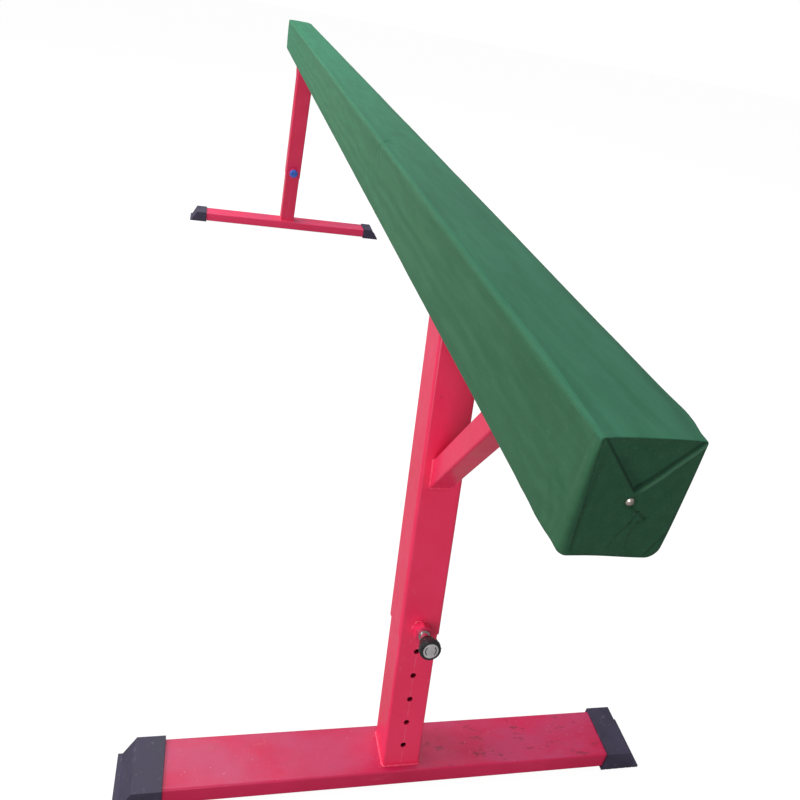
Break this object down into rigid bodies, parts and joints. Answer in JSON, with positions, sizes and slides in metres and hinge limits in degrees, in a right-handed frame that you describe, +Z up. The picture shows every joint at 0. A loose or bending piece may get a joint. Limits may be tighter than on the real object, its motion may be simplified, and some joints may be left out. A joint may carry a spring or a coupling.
{
  "type": "balance beam",
  "caption": "Padded, cloth-covered timber balance beam on two leaning telescopic steel legs, each locked by a spring-loaded pull pin, steadied by a clamp screw and standing on a rubber-footed crossbar.",
  "frame": {"origin": "on the floor under the middle of the beam", "axes": "+X along the beam towards its near end, +Y across it to the right seen from outside that end looking in, +Z up"},
  "size_m": [3.9048, 1.016, 0.998],
  "materials": {
    "cover_cloth": "suede-like woven cloth, matte with a soft sheen",
    "foam": "closed-cell foam, matte",
    "timber": "planed laminated softwood",
    "brass_tack": "polished, slightly dull",
    "staple_wire": "galvanised",
    "zinc_screws": "zinc plated",
    "red_paint": "semi-gloss crimson enamel",
    "plated_barrel": "bright plated",
    "spring_wire": "oiled spring steel",
    "pin_steel": "ground steel",
    "black_grip": "moulded, satin",
    "blue_grip": "moulded, satin",
    "disc_metal": "cast zinc, satin",
    "foot_rubber": "moulded rubber, satin"
  },
  "bodies": {
    "beam": {"timber_core": "timber", "foam_wrap": "foam", "near_end_pad": "foam", "far_end_pad": "foam", "fabric_cover": "cover_cloth", "near_end_tack": "brass_tack", "far_end_tack": "brass_tack", "cover_staples": "staple_wire", "near_plate": "red_paint", "far_plate": "red_paint", "near_plate_screws": "zinc_screws", "far_plate_screws": "zinc_screws", "near_outer_post": "red_paint", "far_outer_post": "red_paint", "near_brace": "red_paint", "far_brace": "red_paint", "near_pin_boss": "red_paint", "far_pin_boss": "red_paint", "near_pin_barrel": "plated_barrel", "far_pin_barrel": "plated_barrel", "near_pin_spring": "spring_wire", "far_pin_spring": "spring_wire", "near_clamp_nut": "red_paint", "far_clamp_nut": "red_paint"},
    "near_leg": {"near_inner_post": "red_paint", "near_base_tube": "red_paint", "near_left_foot": "foot_rubber", "near_right_foot": "foot_rubber"},
    "far_leg": {"far_inner_post": "red_paint", "far_base_tube": "red_paint", "far_left_foot": "foot_rubber", "far_right_foot": "foot_rubber"},
    "near_pin": {"near_lock_pin": "pin_steel"},
    "near_grip": {"near_knob": "black_grip", "near_knob_disc": "disc_metal"},
    "far_pin": {"far_lock_pin": "pin_steel"},
    "far_grip": {"far_knob": "black_grip", "far_knob_disc": "disc_metal"},
    "near_clamp": {"near_clamp_screw": "pin_steel"},
    "near_clamp_grip": {"near_clamp_knob": "blue_grip"},
    "far_clamp": {"far_clamp_screw": "pin_steel"},
    "far_clamp_grip": {"far_clamp_knob": "blue_grip"}
  },
  "joints": [
    {"name": "near_leg_height", "type": "slide", "parent": "beam", "child": "near_leg", "axis": [-0.2504, 0, 0.9681], "range_m": [-0.05, 0.25]},
    {"name": "far_leg_height", "type": "slide", "parent": "beam", "child": "far_leg", "axis": [0.2504, 0, 0.9681], "range_m": [-0.05, 0.25]},
    {"name": "near_pin_pull", "type": "slide", "parent": "beam", "child": "near_pin", "axis": [0.9681, 0, 0.2504], "range_m": [0, 0.01], "stiffness_N_per_m": 600, "springref_m": -0.02, "deforming": ["near_pin_spring"]},
    {"name": "far_pin_pull", "type": "slide", "parent": "beam", "child": "far_pin", "axis": [-0.9681, 0, 0.2504], "range_m": [0, 0.01], "stiffness_N_per_m": 600, "springref_m": -0.02, "deforming": ["far_pin_spring"]},
    {"name": "near_knob_turn", "type": "hinge", "parent": "near_pin", "child": "near_grip", "pos_m": [1.60109, 0, 0.34095], "axis": [0.9681, 0, 0.2504], "continuous": true},
    {"name": "far_knob_turn", "type": "hinge", "parent": "far_pin", "child": "far_grip", "pos_m": [-1.60109, 0, 0.34095], "axis": [-0.9681, 0, 0.2504], "continuous": true},
    {"name": "near_clamp_travel", "type": "slide", "parent": "beam", "child": "near_clamp", "axis": [-0.9681, 0, -0.2504], "range_m": [0, 0.003]},
    {"name": "near_clamp_turn", "type": "hinge", "parent": "near_clamp", "child": "near_clamp_grip", "pos_m": [1.46438, 0, 0.33039], "axis": [-0.9681, 0, -0.2504], "range_deg": [0, 720]},
    {"name": "far_clamp_travel", "type": "slide", "parent": "beam", "child": "far_clamp", "axis": [0.9681, 0, -0.2504], "range_m": [0, 0.003]},
    {"name": "far_clamp_turn", "type": "hinge", "parent": "far_clamp", "child": "far_clamp_grip", "pos_m": [-1.46438, 0, 0.33039], "axis": [0.9681, 0, -0.2504], "range_deg": [0, 720]}
  ],
  "couplings": [
    {"joint": "near_clamp_turn", "follows": "near_clamp_travel", "rad_per_m": 4188.8},
    {"joint": "far_clamp_turn", "follows": "far_clamp_travel", "rad_per_m": 4188.8}
  ]
}
